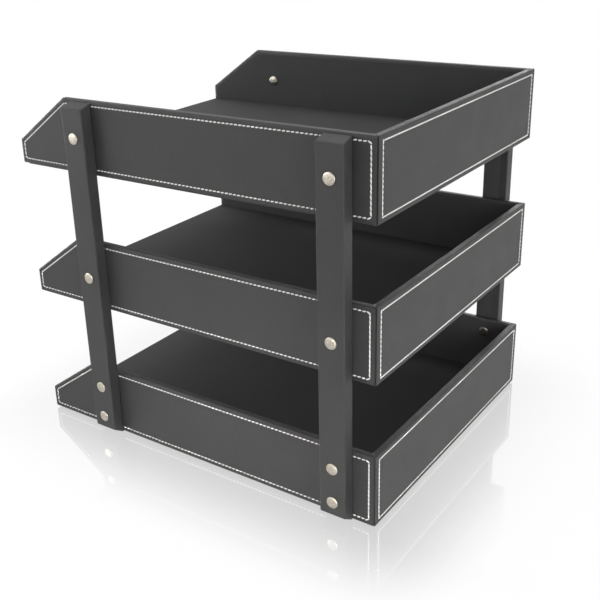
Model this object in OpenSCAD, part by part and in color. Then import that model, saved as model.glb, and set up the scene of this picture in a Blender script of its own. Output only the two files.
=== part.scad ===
// Three-tier document tray.
// Three leatherette-covered board trays are held one above another by four wrapped posts,
// and binding screws fasten every post to every tray.
// The open fronts face -Y and the back walls +Y. The origin is on the desk under the middle.

/* [Trays] */
// Length of a tray, from its open front to the outer face of its back wall
tray_len = 330; // [280:1:400]
// Width of a tray over the outer faces of its side walls
tray_w = 260; // [220:1:340]
// Height of the walls
wall_h = 57.5; // [46:0.5:80]
// Height from one tray to the next
tier_pitch = 114; // [90:1:160]
// Height of the upright nose of a side wall at the open front
nose_h = 19.5; // [14:0.5:28]
// Length of the sloping edge behind the nose, measured along the tray
slope_len = 54.5; // [30:0.5:80]

/* [Boards and coverings] */
// Thickness of the wall boards
board_t = 4; // [3:0.1:6]
// Thickness of the floor boards
floor_t = 6; // [4:0.1:9]
// Thickness of the leatherette on walls and posts
cover_t = 0.8; // [0.6:0.05:1.2]
// Thickness of the lining inside the trays
lining_t = 0.6; // [0.4:0.05:1]
// How far the leatherette comes down inside the rim before the lining starts
turn_in = 3; // [2:0.1:8]
// Thickness of the felt sheet under a tray
felt_t = 1.4; // [0.6:0.1:3]
// How far the felt sheet stays back from the edges of the tray
felt_inset = 3; // [1:0.5:10]

/* [Seam thread] */
// Distance of the seam from the upper, lower and front edges of a panel
seam_inset = 4; // [3:0.1:8]
// Distance of a side panel's seam from its rear end
side_rear_seam = 5; // [3:0.1:8]
// Distance of the back panel's seam from the outer faces of the side walls
back_end_seam = 6.2; // [4:0.1:9]
// Width of the thread
thread_w = 0.9; // [0.6:0.05:1.4]
// Depth to which the thread sinks into the leatherette
thread_sink = 0.4; // [0.2:0.05:0.5]

/* [Posts] */
// Width of a post along the tray
post_w = 21.4; // [16:0.2:30]
// Thickness of a post, out from the wall
post_t = 10.8; // [8:0.2:16]
// Gap along the tray from the end of the slope to the front posts
front_post_gap = 8.6; // [2:0.2:30]
// Gap along the tray from the rear posts to the outer face of the back wall
rear_post_gap = 18; // [8:0.5:40]
// Height of the posts' slanted feet above the desk, at the wall
post_lift = 0.5; // [0.5:0.5:3]
// How much higher the feet end at the outer face of a post
foot_slant = 7; // [1:0.5:9]
// How far the posts stop below the rim of the upper tray, at the wall
post_drop = 1.3; // [0.5:0.1:10]
// How much lower the tops end at the outer face of a post
top_slant = 3.4; // [1:0.2:6]
// Width of the open seam where the post's wrapping meets
wrap_seam_w = 0.6; // [0.3:0.1:1.2]
// Distance of that seam from the middle of the post, towards the back
wrap_seam_off = 4; // [3.6:0.1:6]

/* [Binding screws] */
// Diameter of the low domed heads
head_d = 9; // [7:0.5:11]
// Height of the heads
head_h = 1.3; // [1.1:0.1:2.4]
// Height of the upright rim of the heads
head_rim = 0.55; // [0.35:0.1:0.75]
// Outer diameter of the barrels
barrel_d = 5; // [4.5:0.1:6]
// Diameter of the screws' shanks
shank_d = 3.4; // [2.5:0.1:3.6]
// Length of the screws' shanks
shank_len = 9; // [5:0.5:11]
// Width of the driver slot in the screws' heads
slot_w = 1; // [0.6:0.1:1.4]
// Depth of the driver slot
slot_depth = 0.6; // [0.4:0.1:0.9]
// Height of the lower tray's first screws above the lower edge of the wall
low_screw_rise = 16.7; // [14:0.1:18]
// Distance of the lower tray's second screws below the rim
high_screw_drop = 12.7; // [10:0.1:16]
// Height of the single screws above the lower edge of the wall
single_screw_rise = 29.8; // [20:0.1:36]

/* [Brads] */
// Diameter of the brads
brad_d = 1.2; // [0.8:0.1:1.6]
// Length of the brads
brad_len = 16; // [12:0.5:20]
// Diameter of the brads' heads
brad_head_d = 2; // [1.7:0.1:2.4]
// Height of the brads' heads
brad_head_h = 0.6; // [0.3:0.1:1]
// Distance of the outer floor brads from the ends and sides of the tray
brad_margin = 40; // [25:1:60]
// Height of the lower corner brads above the lower edge of the wall
corner_brad_rise = 20; // [14:0.5:24]
// Distance of the upper corner brads below the rim
corner_brad_drop = 14; // [8:0.5:20]

/* [Fits] */
// Clearance around a barrel in its bores
bore_clear = 0.1; // [0.05:0.01:0.3]
// Clearance around a shank in its barrel
shank_clear = 0.05; // [0.02:0.01:0.1]
// Free depth left in a barrel past the end of the shank
shank_spare = 1; // [0.5:0.1:2]
// Gap left between the end of a barrel and the screw's head
barrel_gap = 0.6; // [0.3:0.1:1]
// Clearance around a brad in its hole
brad_clear = 0.03; // [0.01:0.01:0.06]

/* [Hidden] */
$fn = 48;
cut = 0.1;

left = -1;
right = 1;
front = 0;
rear = 1;

leatherette = "#464446";
lining_grey = "#2c2d2e";
fibreboard = "#b08d62";
felt_black = "#232324";
thread_cream = "#e9e3d7";
nickel = "#d9d2c4";
bright_steel = "#9c9d9f";

tiers = ["lower", "middle", "upper"];
tray_pieces = [
    "left_board", "left_cover", "left_lining",
    "right_board", "right_cover", "right_lining",
    "back_board", "back_cover", "back_lining",
    "floor_board", "floor_lining", "felt_sheet",
    "seam_thread", "brads"
];
post_places = ["front_left", "front_right", "rear_left", "rear_right"];
post_pieces = ["post_core", "post_cover", "binding_barrels", "binding_screws"];
NODES = [
    for (tier = tiers) for (piece = tray_pieces) str(tier, "_", piece),
    for (place = post_places) for (piece = post_pieces) str(place, "_", piece)
];
node = "all";

// Layers of a wall, as depths in from its outer face
board_out = cover_t;
board_in = cover_t + board_t;
wall_t = board_in + lining_t;

// Width between the side boards
inner_w = tray_w - 2 * board_in;

// Posts, in distances from the open front
post_mid_front = slope_len + front_post_gap + post_w / 2;
post_mid_rear = tray_len - rear_post_gap - post_w / 2;
post_top = (len(tiers) - 1) * tier_pitch + felt_t + wall_h - post_drop;

// Fasteners
bore_r = barrel_d / 2 + bore_clear;
barrel_len = post_t + wall_t - barrel_gap;
dome_h = head_h - head_rim;
dome_r = (head_d * head_d / 4 + dome_h * dome_h) / (2 * dome_h);
floor_brad_z = felt_t + floor_t / 2;

// Height of the lower edge of a tray's walls above the desk
function wall_z(tier) = tier * tier_pitch + felt_t;

// Distance of a post's middle line from the open front
function post_mid(row) = row == front ? post_mid_front : post_mid_rear;

// Heights of a tray's screws above the desk
function screw_heights(tier) = tier == 0
    ? [wall_z(0) + low_screw_rise, wall_z(0) + wall_h - high_screw_drop]
    : [wall_z(tier) + single_screw_rise];

// Heights of all the screws along one post
function post_screw_heights() = [for (tier = [0 : len(tiers) - 1]) each screw_heights(tier)];

// Outline of a side wall as seen from the side, drawn in by inset all round and by back at its rear end
function side_outline(inset, back) =
    let (rise = wall_h - nose_h)
    let (slope = norm([slope_len, rise]))
    [
        [inset, inset],
        [tray_len - back, inset],
        [tray_len - back, wall_h - inset],
        [slope_len + inset * (slope - slope_len) / rise, wall_h - inset],
        [inset, nose_h - inset * (slope - rise) / slope_len]
    ];

// Outline of the inside of a side wall, above the floor, drawn in at the rim, the slope and the nose
function side_inside(inset) =
    let (edge = side_outline(inset, board_in))
    let (floor_top = floor_t + lining_t)
    [
        [edge[0][0], floor_top],
        [edge[1][0], floor_top],
        edge[2],
        edge[3],
        edge[4]
    ];

// Places a side wall's own frame: x in from its outer face, y from the open front, z up from the desk
module on_side(side) {
    mirror([side == right ? 1 : 0, 0, 0])
        translate([-tray_w / 2, -tray_len / 2, 0])
            children();
}

// Slab of an outline that stands upright along the tray, between two depths
module upright(outline, from, to) {
    translate([from, 0, 0])
        rotate([90, 0, 90])
            linear_extrude(to - from)
                polygon(outline);
}

// Box between two corners
module block(low, high) {
    translate(low)
        cube(high - low);
}

// Bores for a tray's or a post's screws, across a side wall's frame
module screw_bores(rows, heights, from, to) {
    for (row = rows)
        for (height = heights)
            translate([from, post_mid(row), height])
                rotate([0, 90, 0])
                    cylinder(h = to - from, r = bore_r);
}

// A brad along +X with the outer face of its head at the origin, grown by a clearance to make its hole
module brad(clear) {
    outside = clear > 0 ? cut : 0;
    translate([-outside, 0, 0])
        rotate([0, 90, 0])
            cylinder(h = brad_head_h + clear + outside, d = brad_head_d + 2 * clear);
    rotate([0, 90, 0])
        cylinder(h = brad_len + clear, d = brad_d + 2 * clear);
}

// All the brads of a tray: sides to floor, sides to back wall, back wall to floor
module tray_brads(tier, clear) {
    base = tier * tier_pitch;
    side_spots = [brad_margin, tray_len / 2, tray_len - brad_margin];
    back_spots = [brad_margin, tray_w / 2, tray_w - brad_margin];
    corner_heights = [
        wall_z(tier) + corner_brad_rise,
        wall_z(tier) + wall_h - corner_brad_drop
    ];
    for (side = [left, right])
        on_side(side) {
            for (y = side_spots)
                translate([board_out, y, base + floor_brad_z])
                    brad(clear);
            for (z = corner_heights)
                translate([board_out, tray_len - cover_t - board_t / 2, z])
                    brad(clear);
        }
    for (x = back_spots)
        translate([x - tray_w / 2, tray_len / 2 - cover_t, base + floor_brad_z])
            rotate([0, 0, -90])
                brad(clear);
}

module side_board(tier, side) {
    color(fibreboard)
        difference() {
            on_side(side)
                difference() {
                    translate([0, 0, wall_z(tier)])
                        upright(side_outline(cover_t, cover_t), board_out, board_in);
                    screw_bores([front, rear], screw_heights(tier), 0, wall_t);
                }
            tray_brads(tier, brad_clear);
        }
}

// Leatherette over a side wall: its outer face, its edges and a turn-in below the rim
module side_cover(tier, side) {
    color(leatherette)
        on_side(side)
            difference() {
                translate([0, 0, wall_z(tier)])
                    difference() {
                        union() {
                            upright(side_outline(0, 0), 0, board_out);
                            upright(side_outline(0, cover_t), board_out, board_in);
                            difference() {
                                upright(side_inside(0), board_in, wall_t);
                                upright(side_inside(turn_in), board_in - cut, wall_t + cut);
                            }
                        }
                        upright(side_outline(cover_t, cover_t - cut), board_out, board_in);
                        side_seam(thread_sink, cut);
                    }
                screw_bores([front, rear], screw_heights(tier), -cut, wall_t + cut);
            }
}

module side_lining(tier, side) {
    color(lining_grey)
        on_side(side)
            difference() {
                translate([0, 0, wall_z(tier)])
                    upright(side_inside(turn_in), board_in, wall_t);
                screw_bores([front, rear], screw_heights(tier), 0, wall_t + cut);
            }
}

// Loop of thread round a side panel, let into its outer face and standing out of it by proud
module side_seam(sink, proud) {
    half = thread_w / 2;
    difference() {
        upright(side_outline(seam_inset - half, side_rear_seam - half), -proud, sink);
        upright(side_outline(seam_inset + half, side_rear_seam + half), -proud - cut, sink + cut);
    }
}

module back_board(tier) {
    color(fibreboard)
        difference() {
            block(
                [-inner_w / 2, tray_len / 2 - board_in, wall_z(tier) + cover_t],
                [inner_w / 2, tray_len / 2 - cover_t, wall_z(tier) + wall_h - cover_t]
            );
            tray_brads(tier, brad_clear);
        }
}

// Leatherette over the back wall: its outer face, its upper and lower edges and a turn-in below the rim
module back_cover(tier) {
    half_out = tray_w / 2 - cover_t;
    half_in = tray_w / 2 - wall_t;
    back = tray_len / 2;
    low = wall_z(tier);
    high = low + wall_h;
    color(leatherette)
        difference() {
            union() {
                block([-half_out, back - cover_t, low], [half_out, back, high]);
                block([-inner_w / 2, back - board_in, high - cover_t], [inner_w / 2, back - cover_t, high]);
                block([-inner_w / 2, back - board_in, low], [inner_w / 2, back - cover_t, low + cover_t]);
                block([-half_in, back - wall_t, high - turn_in], [half_in, back - board_in, high]);
            }
            back_seam(tier, thread_sink, cut);
        }
}

module back_lining(tier) {
    half = tray_w / 2 - wall_t;
    low = wall_z(tier) + floor_t + lining_t;
    color(lining_grey)
        block(
            [-half, tray_len / 2 - wall_t, low],
            [half, tray_len / 2 - board_in, wall_z(tier) + wall_h - turn_in]
        );
}

// Loop of thread round the back panel, let into its outer face and standing out of it by proud
module back_seam(tier, sink, proud) {
    half = thread_w / 2;
    end = tray_w / 2 - back_end_seam;
    back = tray_len / 2;
    low = wall_z(tier) + seam_inset;
    high = wall_z(tier) + wall_h - seam_inset;
    difference() {
        block([-end - half, back - sink, low - half], [end + half, back + proud, high + half]);
        block([-end + half, back - sink - cut, low + half], [end - half, back + proud + cut, high - half]);
    }
}

module floor_board(tier) {
    color(fibreboard)
        difference() {
            block(
                [-inner_w / 2, -tray_len / 2 + lining_t, wall_z(tier)],
                [inner_w / 2, tray_len / 2 - board_in, wall_z(tier) + floor_t]
            );
            tray_brads(tier, brad_clear);
        }
}

// Lining on the floor, turned down over the board's open front edge
module floor_lining(tier) {
    top = wall_z(tier) + floor_t + lining_t;
    color(lining_grey)
        difference() {
            block(
                [-inner_w / 2, -tray_len / 2, wall_z(tier)],
                [inner_w / 2, tray_len / 2 - board_in, top]
            );
            block(
                [-inner_w / 2 - cut, -tray_len / 2 + lining_t, wall_z(tier) - cut],
                [inner_w / 2 + cut, tray_len / 2, top - lining_t]
            );
        }
}

module felt_sheet(tier) {
    half_w = tray_w / 2 - felt_inset;
    half_len = tray_len / 2 - felt_inset;
    color(felt_black)
        block(
            [-half_w, -half_len, tier * tier_pitch],
            [half_w, half_len, tier * tier_pitch + felt_t]
        );
}

module seam_thread(tier) {
    color(thread_cream) {
        for (side = [left, right])
            on_side(side)
                translate([0, 0, wall_z(tier)])
                    side_seam(thread_sink, 0);
        back_seam(tier, thread_sink, 0);
    }
}

module brads(tier) {
    color(bright_steel)
        tray_brads(tier, 0);
}

// Height that a post's slanted end gains at a distance out from the wall, drawn in by inset
function slant_z(slant, out, inset) = (slant * out + inset * norm([post_t, slant])) / post_t;

// Solid of a post, drawn in by inset all round
module post_bar(row, inset) {
    width = post_w - 2 * inset;
    near = inset;
    far = post_t - inset;
    translate([0, post_mid(row) + width / 2, 0])
        rotate([90, 0, 0])
            linear_extrude(width)
                polygon([
                    [-near, post_lift + slant_z(foot_slant, near, inset)],
                    [-near, post_top - slant_z(top_slant, near, inset)],
                    [-far, post_top - slant_z(top_slant, far, inset)],
                    [-far, post_lift + slant_z(foot_slant, far, inset)]
                ]);
}

module post_core(row, side) {
    color(fibreboard)
        on_side(side)
            difference() {
                post_bar(row, cover_t);
                screw_bores([row], post_screw_heights(), -post_t, 0);
            }
}

// Leatherette round a post, folded over its ends, with a seam down the face against the trays
module post_cover(row, side) {
    seam_y = post_mid(row) + wrap_seam_off;
    color(leatherette)
        on_side(side)
            difference() {
                post_bar(row, 0);
                post_bar(row, cover_t);
                screw_bores([row], post_screw_heights(), -post_t - cut, cut);
                block(
                    [-cover_t - cut, seam_y - wrap_seam_w / 2, post_lift - cut],
                    [cut, seam_y + wrap_seam_w / 2, post_top + cut]
                );
            }
}

// Low domed head with its flat face at the origin, rising along +Z
module domed_head() {
    intersection() {
        cylinder(h = head_h, d = head_d);
        translate([0, 0, head_h - dome_r])
            sphere(r = dome_r, $fn = 96);
    }
}

// Barrels with their heads on a post's outer face
module binding_barrels(row, side) {
    color(nickel)
        on_side(side)
            for (z = post_screw_heights())
                translate([-post_t, post_mid(row), z])
                    rotate([0, 90, 0])
                        difference() {
                            union() {
                                mirror([0, 0, 1])
                                    domed_head();
                                cylinder(h = barrel_len, d = barrel_d);
                            }
                            translate([0, 0, barrel_len + barrel_gap - shank_len - shank_spare])
                                cylinder(h = shank_len + shank_spare + cut, r = shank_d / 2 + shank_clear);
                        }
}

// Screws with their heads on the lining inside the trays
module binding_screws(row, side) {
    color(nickel)
        on_side(side)
            for (z = post_screw_heights())
                translate([wall_t, post_mid(row), z])
                    rotate([0, 90, 0])
                        difference() {
                            union() {
                                domed_head();
                                translate([0, 0, -shank_len])
                                    cylinder(h = shank_len, d = shank_d);
                            }
                            translate([-slot_w / 2, -head_d, head_h - slot_depth])
                                cube([slot_w, 2 * head_d, slot_depth + cut]);
                        }
}

// Tells whether a piece is the one to draw
function wanted(owner, piece) = node == "all" || node == str(owner, "_", piece);

for (tier = [0 : len(tiers) - 1]) {
    if (wanted(tiers[tier], "left_board")) side_board(tier, left);
    if (wanted(tiers[tier], "left_cover")) side_cover(tier, left);
    if (wanted(tiers[tier], "left_lining")) side_lining(tier, left);
    if (wanted(tiers[tier], "right_board")) side_board(tier, right);
    if (wanted(tiers[tier], "right_cover")) side_cover(tier, right);
    if (wanted(tiers[tier], "right_lining")) side_lining(tier, right);
    if (wanted(tiers[tier], "back_board")) back_board(tier);
    if (wanted(tiers[tier], "back_cover")) back_cover(tier);
    if (wanted(tiers[tier], "back_lining")) back_lining(tier);
    if (wanted(tiers[tier], "floor_board")) floor_board(tier);
    if (wanted(tiers[tier], "floor_lining")) floor_lining(tier);
    if (wanted(tiers[tier], "felt_sheet")) felt_sheet(tier);
    if (wanted(tiers[tier], "seam_thread")) seam_thread(tier);
    if (wanted(tiers[tier], "brads")) brads(tier);
}

for (row = [front, rear])
    for (side = [left, right]) {
        place = str(row == front ? "front" : "rear", "_", side == left ? "left" : "right");
        if (wanted(place, "post_core")) post_core(row, side);
        if (wanted(place, "post_cover")) post_cover(row, side);
        if (wanted(place, "binding_barrels")) binding_barrels(row, side);
        if (wanted(place, "binding_screws")) binding_screws(row, side);
    }
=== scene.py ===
import math

import bpy
from mathutils import Matrix, Vector


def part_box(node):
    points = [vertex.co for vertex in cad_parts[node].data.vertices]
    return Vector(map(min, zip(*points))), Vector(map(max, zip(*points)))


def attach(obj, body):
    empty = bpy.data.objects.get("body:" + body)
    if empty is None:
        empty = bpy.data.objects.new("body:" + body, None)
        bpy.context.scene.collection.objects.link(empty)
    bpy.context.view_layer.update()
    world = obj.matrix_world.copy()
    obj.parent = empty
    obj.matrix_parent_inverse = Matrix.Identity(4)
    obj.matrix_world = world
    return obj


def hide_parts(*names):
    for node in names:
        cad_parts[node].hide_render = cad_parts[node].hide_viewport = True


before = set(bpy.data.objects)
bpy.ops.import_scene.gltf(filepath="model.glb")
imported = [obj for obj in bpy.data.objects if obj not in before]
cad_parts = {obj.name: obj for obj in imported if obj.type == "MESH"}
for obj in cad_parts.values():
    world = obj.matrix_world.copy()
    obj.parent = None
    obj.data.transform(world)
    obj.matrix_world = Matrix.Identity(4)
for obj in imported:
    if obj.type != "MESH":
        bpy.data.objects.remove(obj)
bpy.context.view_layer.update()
mm = 0.001
touching = 0.02 * mm            # places closer than this count as the same
squareOn = 0.999                # least share of a flat face's normal along its own direction
mostly = 0.9                    # the same where only the general direction counts
roundMerge = 0.25               # points closer than this share of a round's radius become one
tierNames = ["lower", "middle", "upper"]
rowNames = ["front", "rear"]
print("frame loaded with", len(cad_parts), "nodes")

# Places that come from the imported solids
wallLow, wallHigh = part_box("lower_right_cover")
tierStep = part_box("middle_right_cover")[0].z - wallLow.z
outerX, innerX = wallHigh.x, wallLow.x
frontY, backY = wallLow.y, wallHigh.y
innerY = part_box("lower_back_cover")[0].y
floorLow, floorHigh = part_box("lower_floor_lining")
wallHeight = wallHigh.z - wallLow.z

panel = {
    "noseHeight": 19.5 * mm,      # upright front end of a side wall
    "slopeLength": 54.5 * mm,     # sloping edge behind it
    "edgeRound": 1.0 * mm,        # rolled edges of the leatherette, and corners of the outline
    "roundSteps": 3,
    "rollHeight": 0.14 * mm,      # how much the edge roll swells outside the seam
    "seamInset": 4 * mm,          # from the upper, lower and front edges
    "sideRearSeam": 5 * mm,       # from a side panel's rear end
    "backEndSeam": 6.2 * mm,      # from the ends of the back wall
    "grooveWidth": 1.5 * mm,
    "grooveDepth": 0.35 * mm,
    "grooveMargin": 0.1 * mm,     # allowed when the groove's points are looked for
    "skin": 0.8 * mm,             # thickness of the leatherette
    "turnIn": 3 * mm,             # leatherette inside the rim, down to the lining
    "mitreGap": 0.3 * mm,
    "smoothAngle": 40,
}


# Modelling helpers

def boxPiece(name, low, high):
    bpy.ops.object.select_all(action="DESELECT")
    bpy.ops.mesh.primitive_cube_add(size=1, location=(low + high) / 2, scale=high - low)
    piece = bpy.context.object
    piece.name = name
    piece.data.name = name
    bpy.ops.object.transform_apply(location=True, rotation=True, scale=True)
    return piece


def near(a, b):
    return abs(a - b) < touching


# Selects what passes the test among a mesh's faces, edges or points, and stays in edit mode
def pick(piece, kind, parts, test):
    bpy.ops.object.mode_set(mode="EDIT")
    bpy.ops.mesh.select_mode(type=kind)
    bpy.ops.mesh.select_all(action="DESELECT")
    bpy.ops.object.mode_set(mode="OBJECT")
    for part in getattr(piece.data, parts):
        part.select = test(part)
    bpy.ops.object.mode_set(mode="EDIT")


def pickFaces(piece, test):
    pick(piece, "FACE", "polygons", lambda face: test(face.center, face.normal))


def edgeEnds(piece, edge):
    return [piece.data.vertices[i].co for i in edge.vertices]


def pickEdges(piece, test):
    pick(piece, "EDGE", "edges", lambda edge: test(*edgeEnds(piece, edge)))


def movePoints(piece, test, move):
    pick(piece, "VERT", "vertices", lambda point: test(point.co))
    bpy.ops.transform.translate(value=move)


def cutAway(point, normal):
    bpy.ops.mesh.select_all(action="SELECT")
    bpy.ops.mesh.bisect(plane_co=point, plane_no=normal, use_fill=True, clear_outer=True)


def applyModifier(piece, kind, **settings):
    bpy.ops.object.mode_set(mode="OBJECT")
    modifier = piece.modifiers.new(kind, kind)
    for setting, value in settings.items():
        setattr(modifier, setting, value)
    bpy.ops.object.modifier_apply(modifier=modifier.name)


def mergeClose(distance):
    bpy.ops.object.mode_set(mode="EDIT")
    bpy.ops.mesh.select_all(action="SELECT")
    bpy.ops.mesh.remove_doubles(threshold=distance)


# Rounds the edges that pass the test, all in one go so that the corners join up
def roundEdges(piece, test, radius, steps):
    bpy.ops.object.mode_set(mode="OBJECT")
    mesh = piece.data
    weights = mesh.attributes.new("bevel_weight_edge", "FLOAT", "EDGE")
    for edge in mesh.edges:
        weights.data[edge.index].value = 1.0 if test(*edgeEnds(piece, edge)) else 0.0
    applyModifier(piece, "BEVEL", limit_method="WEIGHT", width=radius, segments=steps,
                  offset_type="OFFSET", use_clamp_overlap=False)
    mesh.attributes.remove(mesh.attributes["bevel_weight_edge"])
    mergeClose(radius * roundMerge)
    bpy.ops.mesh.normals_make_consistent(inside=False)


def smooth(piece, angle):
    bpy.context.view_layer.objects.active = piece
    bpy.ops.object.mode_set(mode="OBJECT")
    bpy.ops.object.select_all(action="DESELECT")
    piece.select_set(True)
    bpy.ops.object.shade_smooth_by_angle(angle=math.radians(angle))
    applyModifier(piece, "WEIGHTED_NORMAL", keep_sharp=True)


# A copy with its own mesh, moved by a matrix; a mirrored one is turned right side out
def copyPiece(piece, name, matrix):
    copy = piece.copy()
    copy.data = piece.data.copy()
    copy.name = name
    copy.data.name = name
    bpy.context.collection.objects.link(copy)
    copy.data.transform(matrix)
    if matrix.determinant() < 0:
        copy.data.flip_normals()
    return copy


# Many copies of one small shape, gathered into one piece
def copyToPlaces(piece, name, places):
    points = [v.co.copy() for v in piece.data.vertices]
    faces = [list(f.vertices) for f in piece.data.polygons]
    allPoints, allFaces = [], []
    for spot in places:
        start = len(allPoints)
        allPoints += [spot @ p for p in points]
        turned = spot.determinant() < 0
        for face in faces:
            shifted = [i + start for i in face]
            allFaces.append(shifted[::-1] if turned else shifted)
    mesh = bpy.data.meshes.new(name)
    mesh.from_pydata(allPoints, [], allFaces)
    mesh.update()
    gathered = bpy.data.objects.new(name, mesh)
    bpy.context.collection.objects.link(gathered)
    return gathered


def place(piece, material, slotName, *nodes):
    piece.data.materials.clear()
    piece.data.materials.append(material)
    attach(piece, "root")
    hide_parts(*nodes)


mirrorX = Matrix.Scale(-1, 4, (1, 0, 0))
sideTurns = {"left": mirrorX, "right": Matrix.Identity(4)}


def tierMove(tier):
    return Matrix.Translation((0, 0, tier * tierStep))


# The lower tray's piece itself, or a copy of it on a higher tray
def onTier(piece, tier, ending):
    return piece if tier == 0 else copyPiece(piece, tierNames[tier] + ending, tierMove(tier))


# Materials

def addNode(tree, kind, **settings):
    node = tree.nodes.new(kind)
    for name, value in settings.items():
        if name in node.inputs:
            node.inputs[name].default_value = value
        else:
            setattr(node, name, value)
    return node


def newGroup(name, inputs, outputs):
    group = bpy.data.node_groups.new(name, "ShaderNodeTree")
    for way, sockets in (("INPUT", inputs), ("OUTPUT", outputs)):
        for socket in sockets:
            group.interface.new_socket(socket, in_out=way, socket_type="NodeSocketFloat")
    return group, group.nodes.new("NodeGroupInput"), group.nodes.new("NodeGroupOutput")


grainSet = {
    "warpScale": 420.0,         # noise that bends the outlines of the pebbles
    "warpDetail": 2.0,
    "warpSize": 0.6 * mm,
    "crownWidth": 0.22,         # from a pebble's edge to its flat crown
    "fineScale": 3600.0,
    "fineDetail": 2.0,
    "fineShare": 0.35,          # height of the fine grain beside that of the pebbles
    "cloudDetail": 4.0,
    "cloudRough": 0.6,
}


# Pebbled grain and cloudy mottling of leatherette
def makeGrainGroup():
    inputs = ["Pebble scale", "Mottle scale"]
    group, source, result = newGroup("leatheretteGrain", inputs, ["Grain", "Mottle"])
    link = group.links.new
    where = addNode(group, "ShaderNodeTexCoord")
    warp = addNode(
        group, "ShaderNodeTexNoise", Scale=grainSet["warpScale"], Detail=grainSet["warpDetail"])
    warpSize = addNode(group, "ShaderNodeVectorMath", operation="SCALE")
    warpSize.inputs["Scale"].default_value = grainSet["warpSize"]
    warped = addNode(group, "ShaderNodeVectorMath", operation="ADD")
    pebbles = addNode(group, "ShaderNodeTexVoronoi", feature="DISTANCE_TO_EDGE")
    crowns = addNode(group, "ShaderNodeMapRange", interpolation_type="SMOOTHSTEP")
    crowns.inputs["From Max"].default_value = grainSet["crownWidth"]
    fine = addNode(
        group, "ShaderNodeTexNoise", Scale=grainSet["fineScale"], Detail=grainSet["fineDetail"])
    fineShare = addNode(group, "ShaderNodeMath", operation="MULTIPLY")
    fineShare.inputs[1].default_value = grainSet["fineShare"]
    height = addNode(group, "ShaderNodeMath", operation="ADD")
    cloud = addNode(
        group, "ShaderNodeTexNoise", Detail=grainSet["cloudDetail"], Roughness=grainSet["cloudRough"])
    link(where.outputs["Object"], warp.inputs["Vector"])
    link(warp.outputs["Color"], warpSize.inputs[0])
    link(where.outputs["Object"], warped.inputs[0])
    link(warpSize.outputs["Vector"], warped.inputs[1])
    link(warped.outputs["Vector"], pebbles.inputs["Vector"])
    link(source.outputs["Pebble scale"], pebbles.inputs["Scale"])
    link(pebbles.outputs["Distance"], crowns.inputs["Value"])
    link(where.outputs["Object"], fine.inputs["Vector"])
    link(fine.outputs["Fac"], fineShare.inputs[0])
    link(crowns.outputs["Result"], height.inputs[0])
    link(fineShare.outputs["Value"], height.inputs[1])
    link(where.outputs["Object"], cloud.inputs["Vector"])
    link(source.outputs["Mottle scale"], cloud.inputs["Scale"])
    link(height.outputs["Value"], result.inputs["Grain"])
    link(cloud.outputs["Fac"], result.inputs["Mottle"])
    return group


fibreSet = {
    "along": (1.0, 0.25, 0.6),      # stretch of each of the two layers of fibres
    "across": (0.25, 1.0, 0.8),
    "detail": 3.0,
    "rough": 0.65,
}


# Loose fibres, two stretched noises laid over each other, and tufts from a plain noise
def makeFibreGroup():
    group, source, result = newGroup("fibres", ["Fibre scale", "Tuft scale"], ["Fibre", "Tuft"])
    link = group.links.new
    where = addNode(group, "ShaderNodeTexCoord")
    blend = addNode(group, "ShaderNodeMath", operation="MAXIMUM")
    for layer, stretch in enumerate((fibreSet["along"], fibreSet["across"])):
        mapping = addNode(group, "ShaderNodeMapping", Scale=stretch)
        noise = addNode(
            group, "ShaderNodeTexNoise", Detail=fibreSet["detail"], Roughness=fibreSet["rough"])
        link(where.outputs["Object"], mapping.inputs["Vector"])
        link(mapping.outputs["Vector"], noise.inputs["Vector"])
        link(source.outputs["Fibre scale"], noise.inputs["Scale"])
        link(noise.outputs["Fac"], blend.inputs[layer])
    tuft = addNode(group, "ShaderNodeTexNoise", Detail=fibreSet["detail"])
    link(where.outputs["Object"], tuft.inputs["Vector"])
    link(source.outputs["Tuft scale"], tuft.inputs["Scale"])
    link(blend.outputs["Value"], result.inputs["Fibre"])
    link(tuft.outputs["Fac"], result.inputs["Tuft"])
    return group


grainGroup = makeGrainGroup()
fibreGroup = makeFibreGroup()
colourEnds = (0.3, 0.7)             # pattern values between which the colour changes
roughEnds = (0.25, 0.75)            # and between which the roughness does


def newMaterial(name):
    material = bpy.data.materials.new(name)
    material.use_nodes = True
    tree = material.node_tree
    return material, tree, tree.nodes["Principled BSDF"]


def useGroup(tree, group, scales):
    node = tree.nodes.new("ShaderNodeGroup")
    node.node_tree = group
    for name, value in scales.items():
        node.inputs[name].default_value = value
    return node


# Colour ramp between two colours, driven by a value socket
def shade(tree, value, dark, light):
    ramp = tree.nodes.new("ShaderNodeValToRGB")
    for i, colour in enumerate((dark, light)):
        ramp.color_ramp.elements[i].position = colourEnds[i]
        ramp.color_ramp.elements[i].color = (*colour, 1)
    tree.links.new(value, ramp.inputs["Fac"])
    return ramp.outputs["Color"]


# Range between two numbers, driven by a value socket
def spread(tree, value, low, high):
    node = tree.nodes.new("ShaderNodeMapRange")
    node.inputs["From Min"].default_value = roughEnds[0]
    node.inputs["From Max"].default_value = roughEnds[1]
    node.inputs["To Min"].default_value = low
    node.inputs["To Max"].default_value = high
    tree.links.new(value, node.inputs["Value"])
    return node.outputs["Result"]


def bump(tree, shader, height, distance, strength):
    node = tree.nodes.new("ShaderNodeBump")
    node.inputs["Distance"].default_value = distance
    node.inputs["Strength"].default_value = strength
    tree.links.new(height, node.inputs["Height"])
    tree.links.new(node.outputs["Normal"], shader.inputs["Normal"])


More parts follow.
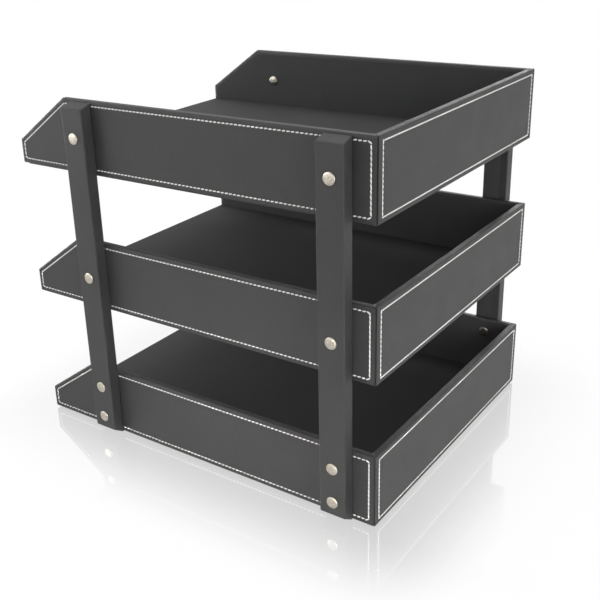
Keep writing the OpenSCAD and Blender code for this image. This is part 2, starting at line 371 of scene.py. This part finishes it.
# A finish whose colour, roughness and bump each follow one output of a pattern group
def makeFinish(name, look):
    material, tree, shader = newMaterial(name)
    pattern = useGroup(tree, look["group"], look["scales"])
    colour = shade(tree, pattern.outputs[look["colourBy"]], look["dark"], look["light"])
    rough = spread(tree, pattern.outputs[look["roughBy"]], *look["rough"])
    tree.links.new(colour, shader.inputs["Base Color"])
    tree.links.new(rough, shader.inputs["Roughness"])
    bump(tree, shader, pattern.outputs[look["bumpBy"]], look["bumpDistance"], look["bumpStrength"])
    for socket, value in look["constants"].items():
        shader.inputs[socket].default_value = value
    return material


leatherLook = {
    "group": grainGroup,
    "scales": {"Pebble scale": 1050.0, "Mottle scale": 38.0},
    "dark": (0.0250, 0.0245, 0.0245),
    "light": (0.0315, 0.0309, 0.0309),
    "colourBy": "Mottle",
    "rough": (0.44, 0.56),
    "roughBy": "Mottle",
    "bumpBy": "Grain",
    "bumpDistance": 0.13 * mm,
    "bumpStrength": 0.6,
    "constants": {"Specular IOR Level": 0.3},
}
liningLook = {
    "group": grainGroup,
    "scales": {"Pebble scale": 1900.0, "Mottle scale": 22.0},
    "dark": (0.0335, 0.0338, 0.0341),
    "light": (0.0415, 0.0419, 0.0423),
    "colourBy": "Mottle",
    "rough": (0.70, 0.82),
    "roughBy": "Mottle",
    "bumpBy": "Grain",
    "bumpDistance": 0.05 * mm,
    "bumpStrength": 0.35,
    "constants": {"Specular IOR Level": 0.2},
}
threadLook = {
    "group": fibreGroup,
    "scales": {"Fibre scale": 5200.0},
    "dark": (0.55, 0.54, 0.525),
    "light": (0.69, 0.68, 0.665),
    "colourBy": "Fibre",
    "rough": (0.55, 0.75),
    "roughBy": "Fibre",
    "bumpBy": "Fibre",
    "bumpDistance": 0.08 * mm,
    "bumpStrength": 0.5,
    "constants": {},
}
feltLook = {
    "group": fibreGroup,
    "scales": {"Fibre scale": 1500.0, "Tuft scale": 140.0},
    "dark": (0.008, 0.008, 0.0085),
    "light": (0.022, 0.022, 0.0225),
    "colourBy": "Tuft",
    "rough": (0.85, 1.0),
    "roughBy": "Fibre",
    "bumpBy": "Fibre",
    "bumpDistance": 0.3 * mm,
    "bumpStrength": 0.7,
    "constants": {"Sheen Weight": 0.25},
}
# the board's near-black colour is painted shade: it makes the mitre gaps between the covers read as dark
# seams
boardShadeLook = {
    "group": fibreGroup,
    "scales": {"Fibre scale": 700.0, "Tuft scale": 140.0},
    "dark": (0.006, 0.006, 0.006),
    "light": (0.016, 0.015, 0.014),
    "colourBy": "Fibre",
    "rough": (0.75, 0.92),
    "roughBy": "Tuft",
    "bumpBy": "Fibre",
    "bumpDistance": 0.15 * mm,
    "bumpStrength": 0.4,
    "constants": {},
}
# every metal has a mottled tone, shallow dents and fine rubbing marks
metalLook = {
    "group": fibreGroup,
    "scales": {"Fibre scale": 1700.0, "Tuft scale": 620.0},
    "colourBy": "Tuft",
    "roughBy": "Fibre",
    "bumpBy": "Tuft",
    "bumpDistance": 0.12 * mm,
    "bumpStrength": 0.5,
    "constants": {"Metallic": 1.0},
}
barrelLook = {"dark": (0.33, 0.295, 0.235), "light": (0.56, 0.52, 0.45), "rough": (0.28, 0.48)}
# the screw heads inside the trays get a darker copy of the barrels' nickel: painted shade for the shaded
# inside of the trays
innerShadeScrewLook = {"dark": (0.16, 0.15, 0.125), "light": (0.28, 0.265, 0.225), "rough": (0.2, 0.34)}
bradLook = {"dark": (0.34, 0.34, 0.35), "light": (0.48, 0.48, 0.49), "rough": (0.35, 0.5)}

leatherette = makeFinish("charcoalLeatherette", leatherLook)
lining = makeFinish("trayLining", liningLook)
creamThread = makeFinish("creamThread", threadLook)
blackFelt = makeFinish("blackFelt", feltLook)
# board and post cores near-black as painted shade in the gaps
shadeBlackBoard = makeFinish("fibreboardBlackAsShade", boardShadeLook)
warmNickel = makeFinish("warmNickel", metalLook | barrelLook)
# darker nickel for the inner screw heads is painted shade
innerShadeNickel = makeFinish("innerShadeNickel", metalLook | innerShadeScrewLook)
plainSteel = makeFinish("plainSteel", metalLook | bradLook)
print("materials made")


# Wall panels

# Insets that swell the edge roll, sink the seam's groove and bring the panel back to its face
def sewOutline():
    half = panel["grooveWidth"] / 2
    roll = (panel["seamInset"] - half - panel["edgeRound"]) / 2
    bpy.ops.mesh.inset(thickness=roll, depth=panel["rollHeight"])
    bpy.ops.mesh.inset(thickness=roll, depth=-panel["rollHeight"])
    bpy.ops.mesh.inset(thickness=half, depth=-panel["grooveDepth"])
    bpy.ops.mesh.inset(thickness=half, depth=panel["grooveDepth"])
    bpy.ops.mesh.inset(thickness=panel["grooveWidth"], depth=0)


# Tells whether a distance in from a panel's end lies in the groove and the flat beside it
def inGroove(distance):
    start = panel["seamInset"] - panel["grooveWidth"] / 2
    end = start + 2 * panel["grooveWidth"]
    return start - panel["grooveMargin"] < distance < end + panel["grooveMargin"]


# Opens the inner face, up to the planes along the edges where the leatherette is turned in
def openInside(piece, test, planes):
    for point, normal in planes:
        pickFaces(piece, test)
        bpy.ops.mesh.bisect(plane_co=point, plane_no=normal)

    def within(c, n):
        return test(c, n) and all((c - point).dot(normal) < 0 for point, normal in planes)

    pickFaces(piece, within)
    bpy.ops.mesh.delete(type="FACE")


rimTurn = (Vector((0, 0, wallHigh.z - panel["turnIn"])), Vector((0, 0, 1)))


def makeSideCover():
    piece = boxPiece("lowerRightCover", wallLow, wallHigh)
    rise = wallHeight - panel["noseHeight"]
    noseTop = Vector((0, frontY, wallLow.z + panel["noseHeight"]))
    slopeNormal = Vector((0, -rise, panel["slopeLength"])).normalized()
    rearCorner = Vector((outerX, backY - panel["mitreGap"], 0))
    bpy.ops.object.mode_set(mode="EDIT")
    cutAway(noseTop, slopeNormal)
    cutAway(rearCorner, Vector((-1, 1, 0)))
    # the same radius at each front corner, whatever its angle
    tilt = math.atan2(rise, panel["slopeLength"])
    frontCorners = [
        (frontY, wallLow.z, math.pi / 2),
        (frontY, noseTop.z, math.pi / 2 + tilt),
        (frontY + panel["slopeLength"], wallHigh.z, math.pi - tilt),
    ]
    for y, z, angle in frontCorners:
        pickEdges(piece, lambda a, b: all(near(p.y, y) and near(p.z, z) for p in (a, b)))
        reach = panel["edgeRound"] / math.tan(angle / 2)
        bpy.ops.mesh.bevel(offset=reach, segments=panel["roundSteps"], affect="EDGES")

    # on the inner face, every edge but the upright one at the rear
    def rolled(a, b):
        if near(a.x, outerX) and near(b.x, outerX):
            return True
        if not (near(a.x, innerX) and near(b.x, innerX)):
            return False
        return min(a.y, b.y) < 0

    def inRearGroove(p):
        return p.x > innerX + panel["skin"] and inGroove(rearCorner.y - p.y)

    roundEdges(piece, rolled, panel["edgeRound"], panel["roundSteps"])
    pickFaces(piece, lambda c, n: n.x > squareOn and near(c.x, outerX))
    sewOutline()
    inward = panel["sideRearSeam"] - panel["seamInset"] - panel["mitreGap"]
    movePoints(piece, inRearGroove, (0, -inward, 0))
    turnedIn = [
        (Vector((0, frontY + panel["turnIn"], 0)), Vector((0, -1, 0))),
        (noseTop - slopeNormal * panel["turnIn"], slopeNormal),
        rimTurn,
    ]
    openInside(piece, lambda c, n: n.x < -squareOn and near(c.x, innerX), turnedIn)
    applyModifier(piece, "SOLIDIFY", thickness=panel["skin"], offset=-1)
    smooth(piece, panel["smoothAngle"])
    return piece


def makeBackCover():
    low = Vector((-outerX, innerY, wallLow.z))
    high = Vector((outerX, backY, wallHigh.z))
    end = outerX - panel["mitreGap"]
    piece = boxPiece("lowerBackCover", low, high)
    bpy.ops.object.mode_set(mode="EDIT")
    for side in (-1, 1):
        cutAway(Vector((side * end, backY, 0)), Vector((side, -1, 0)))

    # on the inner face, only the edge along the rim
    def rolled(a, b):
        if near(a.y, backY) and near(b.y, backY):
            return True
        atRim = near(a.z, wallHigh.z) and near(b.z, wallHigh.z)
        return atRim and near(a.y, innerY) and near(b.y, innerY)

    roundEdges(piece, rolled, panel["edgeRound"], panel["roundSteps"])
    pickFaces(piece, lambda c, n: n.y > squareOn and near(c.y, backY))
    sewOutline()
    inward = panel["backEndSeam"] - panel["seamInset"] - panel["mitreGap"]
    for side in (-1, 1):
        movePoints(piece, lambda p: p.y > innerY + panel["skin"] and inGroove(end - side * p.x),
                   (-side * inward, 0, 0))
    openInside(piece, lambda c, n: n.y < -squareOn and near(c.y, innerY), [rimTurn])
    applyModifier(piece, "SOLIDIFY", thickness=panel["skin"], offset=-1)
    smooth(piece, panel["smoothAngle"])
    return piece


rightCover = makeSideCover()
backCover = makeBackCover()
for tier, tierName in enumerate(tierNames):
    right = onTier(rightCover, tier, "RightCover")
    back = onTier(backCover, tier, "BackCover")
    left = copyPiece(rightCover, tierName + "LeftCover", tierMove(tier) @ mirrorX)
    place(right, leatherette, "leatherette", tierName + "_right_cover")
    place(back, leatherette, "leatherette", tierName + "_back_cover")
    place(left, leatherette, "leatherette", tierName + "_left_cover")
print("wall covers made")


# Floor linings, folded down over the open front edge

floorSheet = {"frontRound": 1.2 * mm, "steps": 4, "thickness": 0.6 * mm}


def makeFloorLining():
    piece = boxPiece("lowerFloorLining", floorLow, floorHigh)

    def frontTop(a, b):
        return all(near(p.y, frontY) and near(p.z, floorHigh.z) for p in (a, b))

    roundEdges(piece, frontTop, floorSheet["frontRound"], floorSheet["steps"])
    pickFaces(piece, lambda c, n: abs(n.x) > mostly or n.y > mostly or n.z < -mostly)
    bpy.ops.mesh.delete(type="FACE")
    applyModifier(piece, "SOLIDIFY", thickness=floorSheet["thickness"], offset=-1)
    smooth(piece, panel["smoothAngle"])
    return piece


floorLining = makeFloorLining()
for tier, tierName in enumerate(tierNames):
    sheet = onTier(floorLining, tier, "FloorLining")
    place(sheet, lining, "lining", tierName + "_floor_lining")
print("floor linings made")


# Posts

post = {
    "edgeRound": 1.0 * mm,
    "steps": 3,
    "footSlant": 7 * mm,       # the ends slant: the outer face is shorter than the inner one
    "topSlant": 3.4 * mm,
    "lap": 4 * mm,             # overlap's edge, behind the middle of the inner face
    "lapStep": 0.4 * mm,
    "footFold": 2.6 * mm,      # leatherette turned in under the foot
    "footDip": 0.3 * mm,
    "footFacing": 0.9995,      # tells the foot's flat face from the rounds beside it
}
postLow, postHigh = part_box("front_right_post_cover")
postMidY = (postLow.y + postHigh.y) / 2
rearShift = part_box("rear_right_post_cover")[0].y - postLow.y


def makePostCover():
    piece = boxPiece("frontRightPostCover", postLow, postHigh)
    thickness = postHigh.x - postLow.x
    footNormal = Vector((post["footSlant"], 0, -thickness)).normalized()
    topNormal = Vector((post["topSlant"], 0, thickness)).normalized()
    bpy.ops.object.mode_set(mode="EDIT")
    cutAway(postLow, footNormal)
    cutAway(Vector((postLow.x, 0, postHigh.z)), topNormal)
    roundEdges(piece, lambda a, b: True, post["edgeRound"], post["steps"])
    lapY = postMidY + post["lap"]
    pickFaces(piece, lambda c, n: n.x < -squareOn)
    bpy.ops.mesh.bisect(plane_co=(0, lapY, 0), plane_no=(0, 1, 0))
    pickFaces(piece, lambda c, n: n.x < -squareOn and c.y > lapY)
    bpy.ops.mesh.extrude_region_move(TRANSFORM_OT_translate={"value": (post["lapStep"], 0, 0)})
    pickFaces(piece, lambda c, n: n.dot(footNormal) > post["footFacing"])
    bpy.ops.mesh.inset(thickness=post["footFold"] - post["edgeRound"], depth=0)
    bpy.ops.mesh.inset(thickness=post["footDip"], depth=-post["footDip"])
    smooth(piece, panel["smoothAngle"])
    return piece


postCover = makePostCover()
for row, rowName in enumerate(rowNames):
    along = Matrix.Translation((0, row * rearShift, 0))
    for sideName, turn in sideTurns.items():
        isFirst = row == 0 and sideName == "right"
        name = rowName + sideName.title() + "PostCover"
        cover = postCover if isFirst else copyPiece(postCover, name, turn @ along)
        place(cover, leatherette, "leatherette", f"{rowName}_{sideName}_post_cover")
print("post covers made")


# Binding screws

binding = {
    "headRadius": 4.5 * mm,
    "rim": 0.5 * mm,
    "sides": 40,
    "domeRings": [(0.35, 0.26), (0.7, 0.2), (1.1, 0.16), (1.3, 0.08)],   # width in and height up, in mm
    "barrelRadius": 2.5 * mm,
    "barrelGap": 0.6 * mm,      # from a barrel's end to the inner head
    "shankRadius": 1.7 * mm,
    "shankLength": 9 * mm,
    "slotWidth": 1 * mm,
    "slotDepth": 0.6 * mm,
    "edgeRound": 0.12 * mm,
    "roundSteps": 2,
    "sharpAngle": 50,           # edges sharper than this are rounded
    "slotMerge": 0.06 * mm,     # points closer than this are one, after the slot is cut
    "edgeMerge": 0.012 * mm,    # and after the edges are rounded
    "smoothAngle": 45,
    "lowRise": 16.7 * mm,       # above the lower edge of the lower wall
    "highDrop": 12.7 * mm,      # below its rim
    "singleRise": 29.8 * mm,    # above the lower edge of a higher wall
}


# A domed head on the origin's plane, its stem going down -Z
def makeBinding(name, stemRadius, stemLength, slotted):
    bpy.ops.object.select_all(action="DESELECT")
    bpy.ops.mesh.primitive_cylinder_add(
        vertices=binding["sides"], radius=binding["headRadius"], depth=binding["rim"],
        location=(0, 0, binding["rim"] / 2))
    piece = bpy.context.object
    piece.name = name
    bpy.ops.object.transform_apply(location=True, rotation=True, scale=True)
    pickFaces(piece, lambda c, n: n.z > mostly)
    for width, height in binding["domeRings"]:
        bpy.ops.mesh.inset(thickness=width * mm, depth=height * mm)
    pickFaces(piece, lambda c, n: n.z < -mostly)
    bpy.ops.mesh.inset(thickness=binding["headRadius"] - stemRadius, depth=0)
    bpy.ops.mesh.extrude_region_move(TRANSFORM_OT_translate={"value": (0, 0, -stemLength)})
    bpy.ops.object.mode_set(mode="OBJECT")
    if slotted:
        top = Vector((0, 0, max(v.co.z for v in piece.data.vertices)))
        half = Vector((binding["slotWidth"] / 2, 2 * binding["headRadius"], binding["slotDepth"]))
        cutter = boxPiece("slotCutter", top - half, top + half)
        bpy.context.view_layer.objects.active = piece
        applyModifier(piece, "BOOLEAN", operation="DIFFERENCE", object=cutter)
        bpy.data.objects.remove(cutter)
        mergeClose(binding["slotMerge"])
    applyModifier(piece, "BEVEL", limit_method="ANGLE", angle_limit=math.radians(binding["sharpAngle"]),
                  width=binding["edgeRound"], segments=binding["roundSteps"])
    mergeClose(binding["edgeMerge"])
    smooth(piece, binding["smoothAngle"])
    return piece


def screwHeights(tier):
    base = wallLow.z + tier * tierStep
    if tier == 0:
        return [base + binding["lowRise"], base + wallHeight - binding["highDrop"]]
    return [base + binding["singleRise"]]


barrelLength = postHigh.x - innerX - binding["barrelGap"]
barrelShape = makeBinding("barrelShape", binding["barrelRadius"], barrelLength, False)
screwShape = makeBinding("screwShape", binding["shankRadius"], binding["shankLength"], True)
outward = Matrix.Rotation(math.radians(90), 4, "Y")
inward = Matrix.Rotation(math.radians(-90), 4, "Y")
heights = [z for tier in range(len(tierNames)) for z in screwHeights(tier)]
for row, rowName in enumerate(rowNames):
    y = postMidY + row * rearShift
    for sideName, turn in sideTurns.items():
        outside = [turn @ Matrix.Translation((postHigh.x, y, z)) @ outward for z in heights]
        inside = [turn @ Matrix.Translation((innerX, y, z)) @ inward for z in heights]
        label = rowName + sideName.title()
        barrels = copyToPlaces(barrelShape, label + "BindingBarrels", outside)
        screws = copyToPlaces(screwShape, label + "BindingScrews", inside)
        for piece, metal, ending in ((barrels, warmNickel, "barrels"), (screws, innerShadeNickel, "screws")):
            smooth(piece, binding["smoothAngle"])
            place(piece, metal, "nickel", f"{rowName}_{sideName}_binding_{ending}")
bpy.data.objects.remove(barrelShape)
bpy.data.objects.remove(screwShape)
print("binding screws made")


# Seam stitches

stitch = {
    "pitch": 3.55 * mm,
    "halfLength": 1.45 * mm,
    "closeStretch": 1.27,       # stitches on uprights, slopes and the back wall nearly meet
    "levelLimit": 0.95,         # least share of a side seam's direction along Y on its level runs
    "halfWidth": 0.61 * mm,
    "rise": 0.42 * mm,          # top of a stitch above the panel's face
    "sunk": 0.21 * mm,          # middle of a stitch below it
    "segments": 8,
    "rings": 6,
    "slant": 8,                 # degrees across the seam
    "sideTurn": 2.2 * mm,       # radius with which the seam turns the corners
    "backTurn": 0.8 * mm,
    "turnSteps": 6,
    "smoothAngle": 80,
}


def makeStitch():
    bpy.ops.object.select_all(action="DESELECT")
    bpy.ops.mesh.primitive_uv_sphere_add(segments=stitch["segments"], ring_count=stitch["rings"], radius=1)
    piece = bpy.context.object
    piece.name = "stitchShape"
    # lie along X, with the poles as the ends of the stitch
    bpy.ops.object.mode_set(mode="EDIT")
    bpy.ops.mesh.select_all(action="SELECT")
    bpy.ops.transform.rotate(value=math.radians(90), orient_axis="Y", center_override=(0, 0, 0))
    halfHeight = stitch["rise"] + stitch["sunk"]
    bpy.ops.transform.resize(value=(stitch["halfLength"], stitch["halfWidth"], halfHeight))
    bpy.ops.transform.translate(value=(0, 0, -stitch["sunk"]))
    bpy.ops.object.mode_set(mode="OBJECT")
    return piece


# Corners of a closed outline turned into straight runs and arcs, as points close together
def roundedPath(corners, radius):
    points = []
    count = len(corners)
    steps = stitch["turnSteps"]
    for i, corner in enumerate(corners):
        back = (corners[i - 1] - corner).normalized()
        ahead = (corners[(i + 1) % count] - corner).normalized()
        half = back.angle(ahead) / 2
        reach = radius / math.tan(half)
        middle = corner + (back + ahead).normalized() * (radius / math.sin(half))
        start = corner + back * reach - middle
        end = corner + ahead * reach - middle
        for step in range(steps + 1):
            points.append(middle + start.slerp(end, step / steps).normalized() * radius)
    return points


# Evenly spaced places along a closed path, each with its direction
def spaced(points, pitch):
    closed = points + [points[0]]
    lengths = [(closed[i + 1] - closed[i]).length for i in range(len(points))]
    count = round(sum(lengths) / pitch)
    gap = sum(lengths) / count
    spots, travelled, leg = [], 0.0, 0
    for i in range(count):
        target = (i + 0.5) * gap
        while travelled + lengths[leg] < target:
            travelled += lengths[leg]
            leg += 1
        direction = (closed[leg + 1] - closed[leg]).normalized()
        spots.append((closed[leg] + direction * (target - travelled), direction))
    return spots


def stitchPlaces(corners, normal, turnRadius):
    places = []
    for spot, direction in spaced(roundedPath(corners, turnRadius), stitch["pitch"]):
        across = normal.cross(direction)
        frameOf = Matrix((direction, across, normal)).transposed().to_4x4()
        slanted = frameOf @ Matrix.Rotation(math.radians(stitch["slant"]), 4, "Z")
        levelOnSide = abs(direction.y) > stitch["levelLimit"]
        stretch = 1.0 if levelOnSide else stitch["closeStretch"]
        places.append(Matrix.Translation(spot) @ slanted @ Matrix.Scale(stretch, 4, (1, 0, 0)))
    return places


def sideSeamCorners():
    inset = panel["seamInset"]
    rise = wallHeight - panel["noseHeight"]
    run = panel["slopeLength"]
    slope = math.hypot(rise, run)
    low, high = wallLow.z + inset, wallHigh.z - inset
    rear = backY - panel["sideRearSeam"]
    outline = [
        (frontY + inset, low),
        (rear, low),
        (rear, high),
        (frontY + run + inset * (slope - run) / rise, high),
        (frontY + inset, wallLow.z + panel["noseHeight"] - inset * (slope - rise) / run),
    ]
    return [Vector((outerX, y, z)) for y, z in outline]


def backSeamCorners():
    inset = panel["seamInset"]
    low, high = wallLow.z + inset, wallHigh.z - inset
    side = outerX - panel["backEndSeam"]
    outline = [(side, low), (-side, low), (-side, high), (side, high)]
    return [Vector((x, backY, z)) for x, z in outline]


stitchShape = makeStitch()
sidePlaces = stitchPlaces(sideSeamCorners(), Vector((1, 0, 0)), stitch["sideTurn"])
backPlaces = stitchPlaces(backSeamCorners(), Vector((0, 1, 0)), stitch["backTurn"])
trayPlaces = sidePlaces + [mirrorX @ p for p in sidePlaces] + backPlaces
lowerStitches = copyToPlaces(stitchShape, "lowerStitches", trayPlaces)
bpy.data.objects.remove(stitchShape)
smooth(lowerStitches, stitch["smoothAngle"])
for tier, tierName in enumerate(tierNames):
    stitches = onTier(lowerStitches, tier, "Stitches")
    place(stitches, creamThread, "thread", tierName + "_seam_thread")
print("seams sewn with", len(tierNames) * len(trayPlaces), "stitches")


# Nodes that keep their solid shape and get a finish

finishes = {
    "lining": lining,
    "felt_sheet": blackFelt,
    "brads": plainSteel,
    "board": shadeBlackBoard,
    "post_core": shadeBlackBoard,
}
for nodeName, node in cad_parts.items():
    for ending, material in finishes.items():
        if nodeName.endswith(ending):
            for slot in node.material_slots:
                slot.material = material
print("solids finished")


# Floor, light and camera

stageSet = {
    "floorSize": 14.0,
    "floorDrop": 0.3 * mm,      # keeps the floor clear of the felt that stands on it
    "floorColour": (0.86, 0.86, 0.86),
    "whiteNear": 0.92,          # share of plain white in the floor beside the trays
    "whiteReach": 0.2,          # distance at which the floor is all white
    "mirrorNear": 0.35,         # share of reflection in the polished floor beside the trays
    "mirrorReach": 0.09,        # distance at which it has faded out
    "mirrorRough": 0.05,
    "worldLevel": 0.35,
}


def combine(tree, operation, first, second):
    node = addNode(tree, "ShaderNodeMath", operation=operation)
    tree.links.new(first, node.inputs[0])
    tree.links.new(second, node.inputs[1])
    return node.outputs["Value"]


# One for rays from the eye, off a glossy surface or through glass, and nought for cast light
def seenDirectly(tree, path):
    eyeOrGloss = combine(tree, "MAXIMUM", path.outputs["Is Camera Ray"], path.outputs["Is Glossy Ray"])
    return combine(tree, "MAXIMUM", eyeOrGloss, path.outputs["Is Transmission Ray"])


# Distance over the floor from the trays' footprint
def footprintDistance(tree):
    where = addNode(tree, "ShaderNodeTexCoord")
    mirrored = addNode(tree, "ShaderNodeVectorMath", operation="ABSOLUTE")
    beyond = addNode(tree, "ShaderNodeVectorMath", operation="SUBTRACT")
    beyond.inputs[1].default_value = (outerX, backY, 0)
    outside = addNode(tree, "ShaderNodeVectorMath", operation="MAXIMUM")
    reach = addNode(tree, "ShaderNodeVectorMath", operation="LENGTH")
    tree.links.new(where.outputs["Object"], mirrored.inputs[0])
    tree.links.new(mirrored.outputs["Vector"], beyond.inputs[0])
    tree.links.new(beyond.outputs["Vector"], outside.inputs[0])
    tree.links.new(outside.outputs["Vector"], reach.inputs[0])
    return reach.outputs["Value"]


# Value that goes from one at the footprint to another at a distance
def fadeOut(tree, distance, reach, nearValue, farValue):
    fade = addNode(tree, "ShaderNodeMapRange", interpolation_type="SMOOTHSTEP")
    fade.inputs["From Max"].default_value = reach
    fade.inputs["To Min"].default_value = nearValue
    fade.inputs["To Max"].default_value = farValue
    tree.links.new(distance, fade.inputs["Value"])
    return fade.outputs["Result"]


def mixShaders(tree, share, first, second):
    mix = addNode(tree, "ShaderNodeMixShader")
    tree.links.new(share, mix.inputs["Fac"])
    tree.links.new(first, mix.inputs[1])
    tree.links.new(second, mix.inputs[2])
    return mix.outputs["Shader"]


def makeFloor():
    bpy.ops.object.select_all(action="DESELECT")
    bpy.ops.mesh.primitive_plane_add(size=stageSet["floorSize"], location=(0, 0, -stageSet["floorDrop"]))
    floor = bpy.context.object
    floor.name = "studioFloor"
    bpy.ops.object.transform_apply(location=True, rotation=True, scale=True)
    material, tree, pale = newMaterial("paleFloor")
    pale.inputs["Base Color"].default_value = (*stageSet["floorColour"], 1)
    pale.inputs["Roughness"].default_value = 1.0
    pale.inputs["Specular IOR Level"].default_value = 0.0
    white = addNode(tree, "ShaderNodeEmission")
    mirror = addNode(tree, "ShaderNodeBsdfGlossy", Roughness=stageSet["mirrorRough"])
    distance = footprintDistance(tree)
    path = addNode(tree, "ShaderNodeLightPath")
    # glossy surfaces see an all white floor, and only the eye sees the reflection in it
    whiteFade = fadeOut(tree, distance, stageSet["whiteReach"], stageSet["whiteNear"], 1.0)
    whiteFade = combine(tree, "MAXIMUM", whiteFade, path.outputs["Is Glossy Ray"])
    whiteShare = combine(tree, "MULTIPLY", whiteFade, seenDirectly(tree, path))
    mirrorFade = fadeOut(tree, distance, stageSet["mirrorReach"], stageSet["mirrorNear"], 0.0)
    mirrorShare = combine(tree, "MULTIPLY", mirrorFade, path.outputs["Is Camera Ray"])
    plain = mixShaders(tree, whiteShare, pale.outputs["BSDF"], white.outputs["Emission"])
    polished = mixShaders(tree, mirrorShare, plain, mirror.outputs["BSDF"])
    tree.links.new(polished, tree.nodes["Material Output"].inputs["Surface"])
    floor.data.materials.append(material)


lamps = {
    "topSoftbox": {
        "place": (-0.3, -0.3, 2.2), "aim": (0, 0, 0.15), "size": 2.0, "spread": 180, "watts": 26.0,
    },
    "backSoftbox": {
        "place": (0.7, 1.7, 0.6), "aim": (0, 0, 0.14), "size": 1.2, "spread": 180, "watts": 15.0,
    },
    "cornerSoftbox": {
        "place": (1.4, 1.0, 0.5), "aim": (0, 0, 0.14), "size": 1.0, "spread": 180, "watts": 1.5,
    },
    "rightSoftbox": {
        "place": (2.0, -0.2, 0.5), "aim": (0, 0, 0.14), "size": 1.2, "spread": 180, "watts": 3.5,
    },
    "frontRightSoftbox": {
        "place": (0.8, -0.8, 0.45), "aim": (0, -0.05, 0.14), "size": 0.7, "spread": 140, "watts": 3.0,
    },
    "frontSoftbox": {
        "place": (-0.1, -1.8, 0.22), "aim": (0, 0.1, 0.1), "size": 0.8, "spread": 90, "watts": 8.0,
    },
    "leftSoftbox": {
        "place": (-1.9, -0.3, 0.25), "aim": (0, 0, 0.14), "size": 1.0, "spread": 120, "watts": 7.0,
    },
    "lowBackStrip": {
        "place": (0.3, 1.3, 0.06), "aim": (0.05, 0.16, 0.02), "size": 0.5, "spread": 40, "watts": 0.6,
    },
    "lowSideStrip": {
        "place": (1.0, 0.3, 0.1), "aim": (0.13, 0.06, 0.015), "size": 0.3, "spread": 20, "watts": 0.2,
    },
}


def makeLights():
    world = bpy.data.worlds.new("studio")
    world.use_nodes = True
    tree = world.node_tree
    background = tree.nodes["Background"]
    background.inputs["Color"].default_value = (1, 1, 1, 1)
    # white where it is seen, and faint as a light
    strength = addNode(tree, "ShaderNodeMath", operation="MAXIMUM")
    strength.inputs[1].default_value = stageSet["worldLevel"]
    tree.links.new(seenDirectly(tree, addNode(tree, "ShaderNodeLightPath")), strength.inputs[0])
    tree.links.new(strength.outputs["Value"], background.inputs["Strength"])
    bpy.context.scene.world = world
    for name, lamp in lamps.items():
        data = bpy.data.lights.new(name, "AREA")
        data.shape = "DISK"
        data.size = lamp["size"]
        data.spread = math.radians(lamp["spread"])
        data.energy = lamp["watts"]
        light = bpy.data.objects.new(name, data)
        bpy.context.collection.objects.link(light)
        light.location = lamp["place"]
        ahead = Vector(lamp["aim"]) - light.location
        light.rotation_euler = ahead.to_track_quat("-Z", "Y").to_euler()


# The view was worked out from the photograph: a tilted view with an off-centre frame
cameraSet = {
    "place": (0.61759, 0.43363, 0.42115),
    "yaw": 126.68,
    "pitch": -21.788,
    "roll": -2.334,
    "focal": 931.47,            # in pixels of the frame
    "frame": 600,
    "centre": (258.41, 273.90), # where the optical axis meets the frame
    "sensor": 36,               # width in millimetres
}


def makeCamera():
    yaw, pitch, roll = (math.radians(cameraSet[k]) for k in ("yaw", "pitch", "roll"))
    ahead = Vector((-math.sin(yaw) * math.cos(pitch), math.cos(yaw) * math.cos(pitch), math.sin(pitch)))
    level = ahead.cross(Vector((0, 0, 1))).normalized()
    upright = level.cross(ahead)
    right = level * math.cos(roll) + upright * math.sin(roll)
    up = upright * math.cos(roll) - level * math.sin(roll)
    turned = Matrix((right, up, -ahead)).transposed().to_4x4()
    data = bpy.data.cameras.new("photoCamera")
    camera = bpy.data.objects.new("photoCamera", data)
    bpy.context.collection.objects.link(camera)
    camera.matrix_world = Matrix.Translation(cameraSet["place"]) @ turned
    size = cameraSet["frame"]
    data.sensor_width = cameraSet["sensor"]
    data.lens = cameraSet["focal"] / size * data.sensor_width
    data.shift_x = (size / 2 - cameraSet["centre"][0]) / size
    data.shift_y = (cameraSet["centre"][1] - size / 2) / size
    bpy.context.scene.camera = camera


makeFloor()
makeLights()
makeCamera()
bpy.context.scene.view_settings.view_transform = "Standard"
print("stage set")
